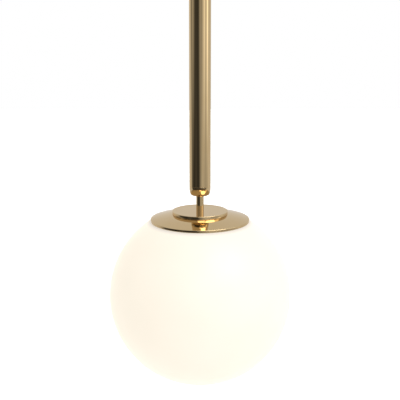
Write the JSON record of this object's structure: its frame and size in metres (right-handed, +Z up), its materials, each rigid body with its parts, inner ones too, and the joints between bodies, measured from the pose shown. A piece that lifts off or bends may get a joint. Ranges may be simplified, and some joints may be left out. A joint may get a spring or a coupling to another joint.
{
  "type": "pendant ceiling light",
  "caption": "Rigid-rod pendant ceiling light with a thick polished brass sleeve, a domed brass cover and an opal glass globe, on a swivelling ceiling canopy.",
  "frame": {"origin": "on the ceiling, on the lamp's axis, at the middle of the ceiling plate's upper face", "axes": "+Z up, the lamp hangs along -Z; the ceiling plate's strip runs along X and its terminal tongue points to +Y; the pictured side faces -Y"},
  "size_m": [0.25, 0.25, 0.775],
  "materials": {
    "polished_brass": "mirror polished, clear lacquered",
    "plain_brass": "turned",
    "zinc_steel": "zinc plated",
    "bright_steel": "bright",
    "nickel": "nickel plated",
    "white_nylon": "moulded",
    "white_ceramic": "glazed steatite",
    "black_moulding": "moulded, fine grain",
    "clear_silicone": "translucent silicone",
    "opal_glass": "satin opal, cased white",
    "lamp_opal": "opal",
    "lamp_plastic": "moulded",
    "black_glass": "vitreous",
    "wire_sheath": "PVC cores",
    "cable_sheath": "PVC sheath"
  },
  "bodies": {
    "root": {"ceiling_plate": "zinc_steel", "canopy": "polished_brass", "canopy_screws": "polished_brass", "earth_screw": "plain_brass", "earth_washer": "plain_brass", "terminal_block": "white_nylon", "terminal_screws": "plain_brass", "block_screw": "bright_steel", "swivel_yoke": "zinc_steel", "yoke_screws": "bright_steel", "yoke_pins": "bright_steel", "canopy_wires": "wire_sheath"},
    "ring": {"swivel_ring": "zinc_steel", "ring_pins": "bright_steel"},
    "pendant": {"swivel_hub": "zinc_steel", "hub_screws": "bright_steel", "rod_cable": "cable_sheath", "rod": "polished_brass", "sleeve": "polished_brass", "sleeve_top_cap": "polished_brass", "sleeve_end_cap": "polished_brass", "sleeve_screws": "bright_steel", "trim_disc": "polished_brass", "globe_cover": "polished_brass", "clamp_washer": "zinc_steel", "glass_holder": "zinc_steel", "clamp_nut": "zinc_steel", "spring_clips": "bright_steel", "spring_rivets": "bright_steel", "cover_gasket": "clear_silicone", "socket_cap": "black_moulding", "socket_grip_screws": "bright_steel", "socket_shell": "black_moulding", "socket_core": "white_ceramic", "socket_thread": "nickel", "socket_contact": "plain_brass"},
    "lamp_carrier": {"lamp_contact": "plain_brass"},
    "lamp": {"lamp_insulator": "black_glass", "lamp_cap": "nickel", "lamp_collar": "lamp_plastic", "lamp_diffuser": "lamp_opal"},
    "globe": {"glass_globe": "opal_glass"}
  },
  "joints": [
    {"name": "swing_x", "type": "hinge", "parent": "root", "child": "ring", "pos_m": [0, 0, -0.016], "axis": [1, 0, 0], "range_deg": [-15, 15]},
    {"name": "swing_y", "type": "hinge", "parent": "ring", "child": "pendant", "pos_m": [0, 0, -0.016], "axis": [0, 1, 0], "range_deg": [-15, 15]},
    {"name": "lamp_travel", "type": "slide", "parent": "pendant", "child": "lamp_carrier", "axis": [0, 0, 1], "range_m": [-0.0183, 0]},
    {"name": "lamp_turn", "type": "hinge", "parent": "lamp_carrier", "child": "lamp", "pos_m": [0, 0, -0.604], "axis": [0, 0, -1], "range_deg": [0, 1800]},
    {"name": "globe_slide", "type": "slide", "parent": "pendant", "child": "globe", "axis": [0, 0, 1], "range_m": [-0.17, 0], "deforming": ["spring_clips"]}
  ],
  "couplings": [
    {"joint": "lamp_travel", "follows": "lamp_turn", "m_per_rad": -0.00057758}
  ]
}
